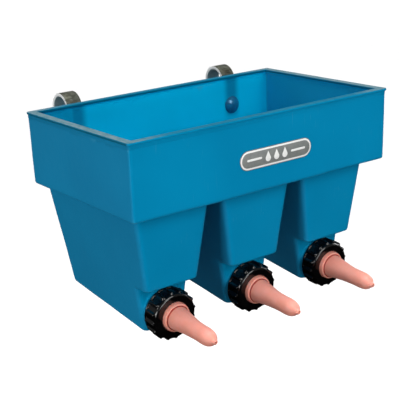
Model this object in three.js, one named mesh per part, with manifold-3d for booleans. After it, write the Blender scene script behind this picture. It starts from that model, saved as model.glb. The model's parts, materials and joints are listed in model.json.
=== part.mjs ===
// Three-compartment teat feeder that hangs on a gate rail: a rotationally moulded polyethylene
// trough, two bolted steel rail hooks, and three rubber teats on valved, screwed ports.
// Millimetres. +X is the length, +Y points to the rail side, +Z is up.
// The origin is on the rail's crown line: midway between the hooks, under their arches.
import * as THREE from 'three';
import { mergeVertices } from 'three/addons/utils/BufferGeometryUtils.js';
import Module from 'manifold-3d';

const wasm = await Module();
wasm.setup();

// ---- driving dimensions ------------------------------------------------------------------
const GAP = 0.3; // running gap between pieces that touch

// trough, in its moulding frame: y = 0 is the rear face, z = 0 the rim plane, depth is positive down
const RIM_LENGTH = 453;
const RIM_DEPTH = 279.5;
const BAND_HEIGHT = 108.4;
const WALL = 5;
const LIP = 1.5; // the rim's small outward flare, on the front and the ends
const LIP_HEIGHT = 4;
const RIM_LAND = 12.4; // width of the rim's flat top, most of it turned inwards
const RIM_THICKNESS = 4;
const END_DRAFT = 0.6;
const FRONT_DRAFT = 3.4;
const BAND_CORNER = 4;
const BAND_EDGE = 3; // radius under the band
const COMPARTMENT_PITCH = 145;
const LEG_HALF_WIDTH = 60.8;
const LEG_TAPER = 0.145; // each side wall, in width per depth
const LEG_FRONT = -249.3;
const LEG_FRONT_LEAN = 0.109;
const REAR_LEAN = 0.072;
const STEP_DEPTH = 224.5; // underside of the overhang above each port
const PORT_FACE = -212.6; // the port face, at the overhang
const PORT_TILT = THREE.MathUtils.degToRad(4.2);
const FLOOR_DEPTH = 295; // at the port face
const FLOOR_SLOPE = 0.119; // the floor falls towards the port
const LEG_CORNER = 8.5;
const STEP_EDGE = 3.5;
const FLOOR_EDGE = 5;
const LEG_ROOT = 12; // how far a leg's block reaches up into the band before they are joined
const SMALLEST_RADIUS = 1.5; // of any edge, inside or out

// port, teat and valve, as distances outwards along the teat's axis from the port face
const AXIS_DEPTH = 267.5;
const PAD_RADIUS = 35.5;
const PAD_HEIGHT = 3;
const PAD_INSET = 0.5; // from the leg's side faces
const BARREL_RADIUS = 13.2;
const BARREL_END = 19;
const BARREL_BORE = 9.5;
const PORT_HOLE = BARREL_RADIUS + 0.6;
const SEAT_CLEARANCE = 0.4; // between the barrel and the seat pressed over it
const FLANGE_RADIUS = 18.6;
const FLANGE_THICKNESS = 3.5;
const GASKET_THICKNESS = 2;
const INLET_RADIUS = 5;
const INLET_LENGTH = 3.2;
const BALL_RADIUS = 7;
const BALL_TRAVEL = 5;
const RETAINER_THICKNESS = 4;
const SEAT_RADIUS = 27.5; // major radius of the teat seat's outer thread
const SEAT_END = 22.5;
const TEAT_FLANGE_RADIUS = 27;
const TEAT_FLANGE_THICKNESS = 2.8;
const COLLAR_RADIUS = 21;
const COLLAR_END = 34;
const COLLAR_ROUND = 2.2;
const COLLAR_GROOVE = 17.5; // radius of the groove between the collar's face and the teat
const GROOVE_DEPTH = 0.6;
const MILK_HOLE = 1.1;
const TEAT_LENGTH = 88; // collar to tip
const NUT_RADIUS = 34;
const NUT_END = 28.5;
const NUT_FLANGE_RADIUS = 36;
const NUT_FLANGE_THICKNESS = 2.4;
const NUT_SHOULDER = 4;
const NUT_BORE = SEAT_RADIUS + 0.6;
const NUT_LIP_BORE = 21.8;
const CHAMFER = 1;
const LUG_COUNT = 16;
const LUG_RADIUS = 2.7;
const LUG_START = 0.25; // the first lug's place, in lug spacings from +X

// rail hooks and their fixings
const HOOK_PITCH = 290;
const HOOK_INNER_RADIUS = 19.5;
const HOOK_THICKNESS = 5;
const HOOK_WIDTH = 25;
const HOOK_TAIL = 5; // how far the free leg reaches below the arch's centre
const CROWN_ABOVE_RIM = 13;
const BOLT_DEPTH = 50; // below the rim
const BOLT_RADIUS = 6;
const BOLT_HEAD_RADIUS = 14.5;
const BOLT_HEAD_HEIGHT = 7;
const LEG_BELOW_BOLT = 16;
const WASHER_RADIUS = 12;
const WASHER_THICKNESS = 2.5;
const NUT_ACROSS_FLATS = 19;
const HEX_NUT_THICKNESS = 10;
const BOLT_TAIL = 1.6;
const BOLT_HOLE = BOLT_RADIUS + 0.5;

// badge
const BADGE_LENGTH = 128;
const BADGE_HEIGHT = 28;
const BADGE_THICKNESS = 1.2;
const BADGE_X = 12.5;
const BADGE_DEPTH = 60;

// ---- materials ---------------------------------------------------------------------------
function material(color, roughness, metalness) {
  return new THREE.MeshStandardMaterial({ color, roughness, metalness });
}

const blueTrough = material(0x0482b1, 0.45, 0);
const badgeGrey = material(0x7d817d, 0.5, 0);
const teatRubber = material(0xf0a090, 0.55, 0);
const blackNylon = material(0x0b0b0d, 0.25, 0);
const greyPlastic = material(0x33363a, 0.4, 0);
const blackRubber = material(0x1b1b1c, 0.8, 0);
const whiteBall = material(0xe6e4dc, 0.3, 0);
const galvanised = material(0x8d9591, 0.45, 0.9);
const zinc = material(0xb4b8bc, 0.3, 0.95);

// ---- solids and meshes -------------------------------------------------------------------
// A closed geometry as a solid that can be joined and cut.
function solid(geometry) {
  const bare = geometry.clone();
  bare.deleteAttribute('normal');
  bare.deleteAttribute('uv');
  const merged = mergeVertices(bare, 1e-4);
  const index = merged.index.array;
  const kept = [];
  for (let i = 0; i < index.length; i += 3) {
    const [a, b, c] = [index[i], index[i + 1], index[i + 2]];
    if (a !== b && b !== c && c !== a) kept.push(a, b, c);
  }
  const vertProperties = new Float32Array(merged.attributes.position.array);
  const triVerts = new Uint32Array(kept);
  return new wasm.Manifold(new wasm.Mesh({ numProp: 3, vertProperties, triVerts }));
}

function geometryOf(manifold) {
  const mesh = manifold.getMesh();
  const geometry = new THREE.BufferGeometry();
  geometry.setAttribute('position', new THREE.BufferAttribute(mesh.vertProperties, 3));
  geometry.setIndex(new THREE.BufferAttribute(mesh.triVerts, 1));
  geometry.computeVertexNormals();
  return geometry;
}

function piece(name, geometry, surface) {
  const mesh = new THREE.Mesh(geometry, surface);
  mesh.name = name;
  return mesh;
}

// A solid of revolution about +Y from [radius, y] pairs.
function turned(profile, segments) {
  return new THREE.LatheGeometry(profile.map(([r, y]) => new THREE.Vector2(r, y)), segments);
}

// A ring of rectangular section, from y0 to y1.
function ringProfile(inner, outer, y0, y1) {
  return [[inner, y0], [outer, y0], [outer, y1], [inner, y1], [inner, y0]];
}

// A closed solid through rings of equally many points, listed upwards, each counter-clockwise.
function loft(rings) {
  const count = rings[0].length;
  const positions = rings.flat().flatMap((p) => [p.x, p.y, p.z]);
  const index = [];
  for (let i = 0; i < rings.length - 1; i += 1) {
    for (let j = 0; j < count; j += 1) {
      const a = i * count + j;
      const b = i * count + ((j + 1) % count);
      index.push(a, b, b + count, a, b + count, a + count);
    }
  }
  const top = (rings.length - 1) * count;
  for (let j = 1; j < count - 1; j += 1) {
    index.push(0, j + 1, j, top, top + j, top + j + 1);
  }
  const geometry = new THREE.BufferGeometry();
  geometry.setAttribute('position', new THREE.Float32BufferAttribute(positions, 3));
  geometry.setIndex(index);
  return geometry;
}

// A rounded rectangle in plan, counter-clockwise from the front right corner.
function roundedRectangle(xMin, xMax, yMin, yMax, radius) {
  const steps = 3;
  const corners = [
    [xMax - radius, yMin + radius, -90],
    [xMax - radius, yMax - radius, 0],
    [xMin + radius, yMax - radius, 90],
    [xMin + radius, yMin + radius, 180],
  ];
  const points = [];
  for (const [x, y, start] of corners) {
    for (let k = 0; k <= steps; k += 1) {
      const angle = THREE.MathUtils.degToRad(start + (90 * k) / steps);
      points.push(new THREE.Vector2(x + radius * Math.cos(angle), y + radius * Math.sin(angle)));
    }
  }
  return points;
}

// ---- trough ------------------------------------------------------------------------------
// One level of the band: the outline at a depth, moved in from the outer face by inset.
function bandRing(depth, inset, lip, radius) {
  const along = depth / BAND_HEIGHT;
  const halfLength = RIM_LENGTH / 2 - LIP - END_DRAFT * along - inset + lip;
  const front = -RIM_DEPTH + LIP + FRONT_DRAFT * along + inset - lip;
  const outline = roundedRectangle(-halfLength, halfLength, front, -inset, radius);
  return outline.map((p) => new THREE.Vector3(p.x, p.y, -depth));
}

// Steps round a bottom edge: how far in and how far up the surface is at each.
function edgeSteps(radius) {
  return [90, 60, 30, 0].map((degrees) => {
    const angle = THREE.MathUtils.degToRad(degrees);
    return { inset: radius * (1 - Math.cos(angle)), rise: radius * (1 - Math.sin(angle)) };
  });
}

function bandOutside() {
  const rings = edgeSteps(BAND_EDGE).map(({ inset, rise }) =>
    bandRing(BAND_HEIGHT - rise, inset, 0, Math.max(BAND_CORNER - inset, SMALLEST_RADIUS)));
  rings.push(bandRing(LIP_HEIGHT, 0, 0, BAND_CORNER));
  rings.push(bandRing(LIP_HEIGHT / 2, 0, LIP, BAND_CORNER));
  rings.push(bandRing(0, 0, LIP, BAND_CORNER));
  return loft(rings);
}

// The band's hollow, and the mouth inside the rim's land above it.
function bandInside() {
  const levels = (depths, inset) =>
    solid(loft(depths.map((depth) => bandRing(depth, inset, 0, SMALLEST_RADIUS))));
  const hollow = levels([BAND_HEIGHT - WALL, RIM_THICKNESS], WALL);
  const mouth = levels([BAND_HEIGHT / 2, -LIP], RIM_LAND - LIP);
  return hollow.add(mouth);
}

function legHalfWidth(depth) {
  return LEG_HALF_WIDTH - LEG_TAPER * (depth - BAND_HEIGHT);
}

function legFront(depth) {
  return LEG_FRONT + LEG_FRONT_LEAN * (depth - BAND_HEIGHT);
}

function portFace(depth) {
  return PORT_FACE + Math.tan(PORT_TILT) * (depth - STEP_DEPTH);
}

function rearFace(depth) {
  return -REAR_LEAN * Math.max(depth - BAND_HEIGHT, 0);
}

// One level of a leg. The level may slope from front to rear, as the floor does.
function legRing(frontAt, frontDepth, rearDepth, inset, radius) {
  const front = frontAt(frontDepth) + inset;
  const rear = rearFace(rearDepth) - inset;
  const half = legHalfWidth(frontDepth) - inset;
  const slope = (rearDepth - frontDepth) / (rear - front);
  return roundedRectangle(-half, half, front, rear, radius).map((p) => {
    const depth = frontDepth + slope * (p.y - front);
    const widening = legHalfWidth(depth) - legHalfWidth(frontDepth);
    return new THREE.Vector3(p.x + Math.sign(p.x) * widening, p.y, -depth);
  });
}

// A leg's block from its top levels down to a floor with rounded edges.
function legBlock(frontAt, topDepths, floorDepth, floorSlope, wall, corner, edge) {
  const fall = floorSlope * (rearFace(floorDepth) - frontAt(floorDepth));
  const bottom = floorDepth - wall;
  const rings = edgeSteps(edge).map(({ inset, rise }) => {
    const radius = Math.max(corner - inset, SMALLEST_RADIUS);
    return legRing(frontAt, bottom - rise, bottom - rise - fall, wall + inset, radius);
  });
  for (const depth of topDepths) rings.push(legRing(frontAt, depth, depth, wall, corner));
  return solid(loft(rings));
}

// The hollow or the outside of one leg: the upper block and, under its overhang, the port block.
function legSolid(wall) {
  const corner = Math.max(LEG_CORNER - wall, SMALLEST_RADIUS);
  const legTop = [BAND_HEIGHT, BAND_HEIGHT - LEG_ROOT];
  const portTop = [STEP_DEPTH - 2 * STEP_EDGE];
  const stepEdge = Math.max(STEP_EDGE - wall, SMALLEST_RADIUS);
  const floorEdge = Math.max(FLOOR_EDGE - wall, SMALLEST_RADIUS);
  const upper = legBlock(legFront, legTop, STEP_DEPTH, 0, wall, corner, stepEdge);
  const lower = legBlock(portFace, portTop, FLOOR_DEPTH, FLOOR_SLOPE, wall, corner, floorEdge);
  return upper.add(lower);
}

// The frame of a port: +Y runs outwards along the teat's axis from the port face.
function portFrame() {
  const frame = new THREE.Object3D();
  frame.position.set(0, portFace(AXIS_DEPTH), -AXIS_DEPTH);
  frame.rotation.x = Math.PI + PORT_TILT;
  frame.updateMatrix();
  return frame;
}

function portCylinder(radius, y0, y1, segments) {
  const shape = new THREE.CylinderGeometry(radius, radius, y1 - y0, segments);
  shape.translate(0, (y0 + y1) / 2, 0);
  shape.applyMatrix4(portFrame().matrix);
  return solid(shape);
}

function troughGeometry() {
  const pad = portCylinder(PAD_RADIUS, -WALL / 2, PAD_HEIGHT, 32);
  const beyondPad = () => PORT_FACE - 2 * PAD_HEIGHT;
  // the pad stops at the leg's sides
  const legSides = solid(loft([FLOOR_DEPTH, STEP_DEPTH].map((depth) =>
    legRing(beyondPad, depth, depth, PAD_INSET, SMALLEST_RADIUS))));
  const leg = legSolid(0).add(pad.intersect(legSides));
  const portHole = portCylinder(PORT_HOLE, -3 * WALL, 3 * PAD_HEIGHT, 24);
  const hollow = legSolid(WALL).add(portHole);
  let outside = solid(bandOutside());
  let inside = bandInside();
  for (const side of [-1, 0, 1]) {
    const shift = [side * COMPARTMENT_PITCH, 0, 0];
    outside = outside.add(leg.translate(shift));
    inside = inside.add(hollow.translate(shift));
  }
  const neckWidth = 2 * (BOLT_RADIUS + GAP);
  for (const side of [-1, 1]) {
    const neckHole = new THREE.BoxGeometry(neckWidth, 4 * WALL, neckWidth);
    neckHole.translate((side * HOOK_PITCH) / 2, 0, -BOLT_DEPTH);
    inside = inside.add(solid(neckHole));
  }
  return geometryOf(outside.subtract(inside));
}

function badge() {
  const straight = (BADGE_LENGTH - BADGE_HEIGHT) / 2;
  const end = BADGE_HEIGHT / 2;
  const outline = new THREE.Shape();
  outline.moveTo(-straight, -end);
  outline.lineTo(straight, -end);
  outline.absarc(straight, 0, end, -Math.PI / 2, Math.PI / 2, false);
  outline.lineTo(-straight, end);
  outline.absarc(-straight, 0, end, Math.PI / 2, (3 * Math.PI) / 2, false);
  const plate = new THREE.ExtrudeGeometry(outline, {
    depth: BADGE_THICKNESS,
    bevelEnabled: false,
    curveSegments: 10,
  });
  plate.translate(0, 0, GAP);
  const mesh = piece('front_badge', plate, badgeGrey);
  const lean = FRONT_DRAFT / BAND_HEIGHT;
  mesh.position.set(BADGE_X, -RIM_DEPTH + LIP + lean * BADGE_DEPTH, -BADGE_DEPTH);
  mesh.rotation.x = Math.PI / 2 + Math.atan(lean);
  return mesh;
}

// ---- port, valve and teat ----------------------------------------------------------------
function valveBody(name) {
  const flangeFace = -WALL - GASKET_THICKNESS - 2 * GAP;
  const rear = flangeFace - FLANGE_THICKNESS;
  return piece(name, turned([
    [INLET_RADIUS, rear],
    [FLANGE_RADIUS, rear],
    [FLANGE_RADIUS, flangeFace],
    [BARREL_RADIUS, flangeFace],
    [BARREL_RADIUS, BARREL_END - CHAMFER],
    [BARREL_RADIUS - CHAMFER, BARREL_END],
    [BARREL_BORE, BARREL_END],
    [BARREL_BORE, rear + INLET_LENGTH],
    [INLET_RADIUS, rear + INLET_LENGTH],
    [INLET_RADIUS, rear],
  ], 24), greyPlastic);
}

// The ball rests just clear of the edge of the inlet.
function ballCentre() {
  const seat = -WALL - GASKET_THICKNESS - 2 * GAP - FLANGE_THICKNESS + INLET_LENGTH;
  return seat + Math.sqrt(BALL_RADIUS ** 2 - INLET_RADIUS ** 2) + GAP;
}

function valveBall(name) {
  const mesh = piece(name, new THREE.SphereGeometry(BALL_RADIUS, 14, 10), whiteBall);
  mesh.position.y = ballCentre();
  return mesh;
}

// A ring with a cross inside the barrel, which stops the ball.
function ballRetainer(name) {
  const y0 = ballCentre() + BALL_RADIUS + BALL_TRAVEL + 2 * GAP;
  const y1 = y0 + RETAINER_THICKNESS;
  const outer = BARREL_BORE - GAP;
  const barWidth = 2.4;
  let ring = solid(turned(ringProfile(outer - 2, outer, y0, y1), 20));
  for (const turn of [0, Math.PI / 2]) {
    const bar = new THREE.BoxGeometry(2 * (outer - 1), RETAINER_THICKNESS / 2, barWidth);
    bar.translate(0, (y0 + y1) / 2, 0);
    bar.rotateY(turn);
    ring = ring.add(solid(bar));
  }
  return piece(name, geometryOf(ring), greyPlastic);
}

function teatSeat(name) {
  const web = BARREL_END + GAP;
  const start = PAD_HEIGHT + GAP;
  const socket = BARREL_RADIUS + SEAT_CLEARANCE;
  return piece(name, turned([
    [socket, start],
    [SEAT_RADIUS, start],
    [SEAT_RADIUS, SEAT_END - CHAMFER],
    [SEAT_RADIUS - CHAMFER, SEAT_END],
    [BARREL_BORE, SEAT_END],
    [BARREL_BORE, web],
    [socket, web],
    [socket, start],
  ], 32), blackNylon);
}

// The teat's outer radius at each distance from the collar's front.
const TEAT_OUTLINE = [
  [1.2, 17.3], [9, 16.5], [22, 14.9], [38, 13.4], [52, 12.9], [62, 12.9], [68, 12.3],
  [74, 10.9], [78, 9.0], [81.5, 6.2], [84, 4.4], [86.5, 3.6], [TEAT_LENGTH, 2.2],
];

// The milk passage's radius at each distance back from the tip.
const TEAT_BORE = [[6, MILK_HOLE], [20, 7], [34, 8.5]];

function teat(name) {
  const base = SEAT_END + GAP;
  const flangeFront = base + TEAT_FLANGE_THICKNESS;
  const tip = COLLAR_END + TEAT_LENGTH;
  const outline = TEAT_OUTLINE.map(([along, radius]) => [radius, COLLAR_END + along]);
  return piece(name, turned([
    [BARREL_BORE, base],
    [TEAT_FLANGE_RADIUS, base],
    [TEAT_FLANGE_RADIUS, flangeFront],
    [COLLAR_RADIUS, flangeFront],
    [COLLAR_RADIUS, COLLAR_END - COLLAR_ROUND],
    [COLLAR_RADIUS - 0.3 * COLLAR_ROUND, COLLAR_END - 0.3 * COLLAR_ROUND],
    [COLLAR_RADIUS - COLLAR_ROUND, COLLAR_END],
    [COLLAR_GROOVE, COLLAR_END - GROOVE_DEPTH],
    ...outline,
    [MILK_HOLE, tip],
    ...TEAT_BORE.map(([back, radius]) => [radius, tip - back]),
    [BARREL_BORE, base],
  ], 24), teatRubber);
}

function ringNut(name) {
  const start = PAD_HEIGHT + 2 * GAP;
  const flangeFront = start + NUT_FLANGE_THICKNESS;
  const lip = SEAT_END + TEAT_FLANGE_THICKNESS + 2 * GAP;
  const shoulder = [0, 30, 60, 90].map((degrees) => {
    const angle = THREE.MathUtils.degToRad(degrees);
    const radius = NUT_RADIUS - NUT_SHOULDER * (1 - Math.cos(angle));
    return [radius, NUT_END - NUT_SHOULDER * (1 - Math.sin(angle))];
  });
  let nut = solid(turned([
    [NUT_BORE, start],
    [NUT_FLANGE_RADIUS, start],
    [NUT_FLANGE_RADIUS, flangeFront],
    [NUT_RADIUS, flangeFront],
    ...shoulder,
    [NUT_LIP_BORE, NUT_END],
    [NUT_LIP_BORE, lip],
    [NUT_BORE, lip],
    [NUT_BORE, start],
  ], 32));
  const lugEnd = NUT_END - NUT_SHOULDER;
  for (let i = 0; i < LUG_COUNT; i += 1) {
    const lug = new THREE.CylinderGeometry(LUG_RADIUS, LUG_RADIUS, lugEnd - start - GAP, 6);
    lug.translate(NUT_RADIUS + LUG_RADIUS / 4, (start + GAP + lugEnd) / 2, 0);
    lug.rotateY((2 * Math.PI * (i + LUG_START)) / LUG_COUNT);
    nut = nut.add(solid(lug));
  }
  return piece(name, geometryOf(nut), blackNylon);
}

function innerGasket(name) {
  const face = -WALL - GAP;
  const outer = FLANGE_RADIUS - 2 * GAP;
  const profile = ringProfile(BARREL_RADIUS + GAP, outer, face - GASKET_THICKNESS, face);
  return piece(name, turned(profile, 24), blackRubber);
}

function station(side, label) {
  const group = portFrame();
  group.position.x = side * COMPARTMENT_PITCH;
  group.add(
    valveBody(`valve_body_${label}`),
    innerGasket(`inner_gasket_${label}`),
    valveBall(`valve_ball_${label}`),
    ballRetainer(`ball_retainer_${label}`),
    teatSeat(`teat_seat_${label}`),
    teat(`teat_${label}`),
    ringNut(`ring_nut_${label}`),
  );
  return group;
}

// ---- rail hooks --------------------------------------------------------------------------
const ARCH_OUTER = HOOK_INNER_RADIUS + HOOK_THICKNESS;
const RIM_Z = HOOK_THICKNESS - CROWN_ABOVE_RIM;
const REAR_Y = -ARCH_OUTER - GAP;
const BOLT_BELOW_ARCH = BOLT_DEPTH - RIM_Z - HOOK_INNER_RADIUS;

// Flat bar bent over the rail, in the plane across the rail, centred on the arch.
function hookGeometry() {
  const inner = HOOK_INNER_RADIUS;
  const foot = -BOLT_BELOW_ARCH - LEG_BELOW_BOLT;
  const outline = new THREE.Shape();
  outline.moveTo(-ARCH_OUTER, foot);
  outline.lineTo(-inner, foot);
  outline.lineTo(-inner, 0);
  outline.absarc(0, 0, inner, Math.PI, 0, true);
  outline.lineTo(inner, -HOOK_TAIL);
  outline.lineTo(ARCH_OUTER, -HOOK_TAIL);
  outline.lineTo(ARCH_OUTER, 0);
  outline.absarc(0, 0, ARCH_OUTER, 0, Math.PI, false);
  const bar = new THREE.ExtrudeGeometry(outline, {
    depth: HOOK_WIDTH,
    bevelEnabled: false,
    curveSegments: 16,
  });
  bar.translate(0, 0, -HOOK_WIDTH / 2);
  const across = new THREE.Matrix4().makeBasis(
    new THREE.Vector3(0, 1, 0),
    new THREE.Vector3(0, 0, 1),
    new THREE.Vector3(1, 0, 0),
  );
  bar.applyMatrix4(across);
  const hole = new THREE.CylinderGeometry(BOLT_HOLE, BOLT_HOLE, 4 * HOOK_THICKNESS, 16);
  hole.translate(0, -ARCH_OUTER, -BOLT_BELOW_ARCH);
  return geometryOf(solid(bar).subtract(solid(hole)));
}

// Fixings lie along +Y from the trough's rear face.
function hookBolt(name) {
  const seat = -WALL - GAP;
  const sphere = (BOLT_HEAD_RADIUS ** 2 + BOLT_HEAD_HEIGHT ** 2) / (2 * BOLT_HEAD_HEIGHT);
  const reach = Math.asin(BOLT_HEAD_RADIUS / sphere);
  const dome = [];
  const steps = 6;
  for (let k = 0; k <= steps; k += 1) {
    const angle = (reach * k) / steps;
    const height = BOLT_HEAD_HEIGHT - sphere * (1 - Math.cos(angle));
    dome.push([k === 0 ? 0 : sphere * Math.sin(angle), seat - height]);
  }
  const end = HOOK_THICKNESS + WASHER_THICKNESS + HEX_NUT_THICKNESS + 3 * GAP + BOLT_TAIL;
  const shank = solid(turned([
    ...dome,
    [BOLT_RADIUS, seat],
    [BOLT_RADIUS, end - CHAMFER],
    [BOLT_RADIUS - CHAMFER, end],
    [0, end],
  ], 20));
  const neckLength = WALL - 2 * GAP;
  const neck = new THREE.BoxGeometry(2 * BOLT_RADIUS, neckLength, 2 * BOLT_RADIUS);
  neck.translate(0, seat + neckLength / 2, 0);
  return piece(name, geometryOf(shank.add(solid(neck))), zinc);
}

function hookWasher(name) {
  const y0 = HOOK_THICKNESS + 2 * GAP;
  const profile = ringProfile(BOLT_RADIUS + GAP, WASHER_RADIUS, y0, y0 + WASHER_THICKNESS);
  return piece(name, turned(profile, 24), zinc);
}

function hookNut(name) {
  const corner = NUT_ACROSS_FLATS / Math.sqrt(3);
  const outline = new THREE.Shape();
  for (let k = 0; k < 6; k += 1) {
    const angle = (k * Math.PI) / 3;
    const [x, y] = [corner * Math.cos(angle), corner * Math.sin(angle)];
    if (k === 0) outline.moveTo(x, y);
    else outline.lineTo(x, y);
  }
  outline.closePath();
  const bore = new THREE.Path();
  bore.absarc(0, 0, BOLT_RADIUS + GAP, 0, 2 * Math.PI, true);
  outline.holes.push(bore);
  const hex = new THREE.ExtrudeGeometry(outline, {
    depth: HEX_NUT_THICKNESS,
    bevelEnabled: false,
    curveSegments: 12,
  });
  hex.rotateX(-Math.PI / 2);
  hex.translate(0, HOOK_THICKNESS + WASHER_THICKNESS + 3 * GAP, 0);
  return piece(name, hex, zinc);
}

function fixings(side, label) {
  const group = new THREE.Group();
  group.position.set((side * HOOK_PITCH) / 2, 0, -BOLT_DEPTH);
  group.add(
    hookBolt(`hook_bolt_${label}`),
    hookWasher(`hook_washer_${label}`),
    hookNut(`hook_nut_${label}`),
  );
  return group;
}

function hook(side, label) {
  const mesh = piece(`hook_${label}`, hookGeometry(), galvanised);
  mesh.position.set((side * HOOK_PITCH) / 2, 0, -HOOK_INNER_RADIUS);
  return mesh;
}

// ---- assembly ----------------------------------------------------------------------------
const trough = new THREE.Group();
trough.position.set(0, REAR_Y, RIM_Z);
trough.add(piece('trough_body', troughGeometry(), blueTrough), badge());
trough.add(station(-1, 'left'), station(0, 'middle'), station(1, 'right'));
trough.add(fixings(-1, 'left'), fixings(1, 'right'));

const feeder = new THREE.Group();
feeder.add(trough, hook(-1, 'left'), hook(1, 'right'));

export default feeder;
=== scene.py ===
import json
import math

import bmesh
import bpy
import numpy as np
from mathutils import Matrix, Vector


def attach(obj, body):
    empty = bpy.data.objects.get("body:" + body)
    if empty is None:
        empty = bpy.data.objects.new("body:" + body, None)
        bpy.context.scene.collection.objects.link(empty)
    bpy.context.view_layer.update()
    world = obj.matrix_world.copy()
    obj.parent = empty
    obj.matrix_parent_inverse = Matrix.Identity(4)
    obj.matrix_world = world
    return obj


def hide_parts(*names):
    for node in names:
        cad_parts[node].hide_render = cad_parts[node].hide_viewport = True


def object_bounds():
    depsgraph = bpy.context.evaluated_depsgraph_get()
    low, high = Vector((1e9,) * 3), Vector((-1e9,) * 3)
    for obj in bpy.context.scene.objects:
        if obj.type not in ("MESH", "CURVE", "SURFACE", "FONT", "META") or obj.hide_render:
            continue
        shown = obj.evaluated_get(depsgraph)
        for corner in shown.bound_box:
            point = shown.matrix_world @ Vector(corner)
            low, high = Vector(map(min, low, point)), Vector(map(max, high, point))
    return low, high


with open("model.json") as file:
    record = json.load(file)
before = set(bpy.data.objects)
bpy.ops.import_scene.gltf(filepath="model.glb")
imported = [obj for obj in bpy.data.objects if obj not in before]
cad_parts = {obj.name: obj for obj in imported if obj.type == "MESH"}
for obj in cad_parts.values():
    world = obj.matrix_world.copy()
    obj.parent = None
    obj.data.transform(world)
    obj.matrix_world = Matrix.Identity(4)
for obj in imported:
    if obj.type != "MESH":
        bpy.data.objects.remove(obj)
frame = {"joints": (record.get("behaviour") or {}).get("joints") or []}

# A three-compartment teat feeder that hangs on a gate rail. Lengths are in metres, but the
# helper functions take millimetres wherever a comment says mm. +X is the trough's length,
# +Y points to the rail, +Z is up, and the origin is under the hooks' arches.
CAD_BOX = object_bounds()
MM = 0.001
SIDES = {"left": -1, "middle": 0, "right": 1}
HOOK_SIDES = {"left": -1, "right": 1}

# ---- driving dimensions, mm, the same as the model's ----
RIM_LENGTH, RIM_DEPTH, BAND_HEIGHT = 453.0, 279.5, 108.4
WALL, LIP, LIP_HEIGHT = 5.0, 1.5, 4.0
RIM_LAND, RIM_THICKNESS = 12.4, 4.0
END_DRAFT, FRONT_DRAFT = 0.6, 3.4
BAND_CORNER, BAND_EDGE = 4.0, 3.0
COMPARTMENT_PITCH = 145.0
LEG_HALF_WIDTH, LEG_TAPER = 60.8, 0.145
LEG_FRONT, LEG_FRONT_LEAN, REAR_LEAN = -249.3, 0.109, 0.072
STEP_DEPTH, PORT_FACE = 224.5, -212.6
PORT_TILT = math.radians(4.2)
FLOOR_DEPTH, FLOOR_SLOPE = 295.0, 0.119
LEG_CORNER, STEP_EDGE, FLOOR_EDGE, LEG_ROOT = 8.5, 3.5, 5.0, 12.0
SMALLEST_RADIUS = 1.5
PAD_RADIUS, PAD_HEIGHT, PORT_HOLE = 35.5, 3.0, 13.8
BARREL_RADIUS, BARREL_END, BARREL_BORE = 13.2, 19.0, 9.5
FLANGE_RADIUS, FLANGE_THICKNESS, GASKET_THICKNESS = 18.6, 3.5, 2.0
INLET_RADIUS, INLET_LENGTH, BALL_RADIUS, BALL_LIFT = 5.0, 3.2, 7.0, 5.0
RETAINER_HEIGHT = 4.0
SEAT_RADIUS, SEAT_END = 27.5, 22.5
TEAT_FLANGE_RADIUS, TEAT_FLANGE_THICKNESS = 27.0, 2.8
COLLAR_RADIUS, COLLAR_END, COLLAR_EDGE, TEAT_LENGTH = 21.0, 34.0, 2.2, 88.0
NUT_RADIUS, NUT_END, NUT_SHOULDER = 34.0, 28.5, 4.0
NUT_FLANGE_RADIUS, NUT_FLANGE_THICKNESS, NUT_LIP_BORE = 36.0, 2.4, 21.8
LUG_COUNT, LUG_RADIUS, LUG_START = 16, 2.6, 0.25
THREAD_PITCH = 4.0
HOOK_PITCH, HOOK_INNER_RADIUS, HOOK_TAIL = 290.0, 19.5, 5.0
HOOK_THICKNESS, HOOK_WIDTH = 5.0, 25.0
CROWN_ABOVE_RIM, BOLT_DEPTH, BOLT_RADIUS, LEG_BELOW_BOLT = 13.0, 50.0, 6.0, 16.0
BOLT_HEAD_RADIUS, BOLT_HEAD_HEIGHT = 14.5, 7.0
WASHER_RADIUS, WASHER_THICKNESS, NUT_ACROSS_FLATS, HEX_NUT_THICKNESS = 12.0, 2.5, 19.0, 10.0
BOLT_TAIL, BOLT_PITCH, NECK_CORNER = 1.6, 1.75, 0.8
BADGE_LENGTH, BADGE_HEIGHT, BADGE_X, BADGE_DEPTH = 128.0, 28.0, 12.5, 60.0
GAP = 0.3

ARCH_OUTER = HOOK_INNER_RADIUS + HOOK_THICKNESS
RIM_Z = HOOK_THICKNESS - CROWN_ABOVE_RIM
REAR_Y = -ARCH_OUTER - GAP
BOLT_Z = RIM_Z - BOLT_DEPTH
HOOK_FOOT_Z = BOLT_Z - LEG_BELOW_BOLT
FRONT_LEAN = FRONT_DRAFT / BAND_HEIGHT


# ---- mesh helpers ----
def linked(name, data):
    """A new object in the scene, holding the data."""
    made = bpy.data.objects.new(name, data)
    bpy.context.scene.collection.objects.link(made)
    return made


def make_object(name, vertices, faces):
    """A mesh object from vertices in mm and faces."""
    mesh = bpy.data.meshes.new(name)
    scaled = np.asarray(vertices, float) * MM
    mesh.from_pydata(scaled.tolist(), [], [list(map(int, face)) for face in faces])
    mesh.update()
    return linked(name, mesh)


def grid_faces(rows, columns, closed_rows=False):
    """Quads over a grid whose columns close on themselves, and whose rows may too."""
    steps = rows if closed_rows else rows - 1
    i, j = np.meshgrid(np.arange(steps), np.arange(columns), indexing="ij")
    below = (i + 1) % rows
    beside = (j + 1) % columns
    quads = [i * columns + j, i * columns + beside, below * columns + beside, below * columns + j]
    return np.stack([q.ravel() for q in quads], 1).tolist()


def loft(rings):
    """Vertices and faces of a closed skin through rings of equally many points, listed upwards,
    each counter-clockwise."""
    count = len(rings[0])
    faces = grid_faces(len(rings), count)
    faces.append(list(range(count))[::-1])
    faces.append([(len(rings) - 1) * count + k for k in range(count)])
    return np.concatenate(rings), faces


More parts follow.
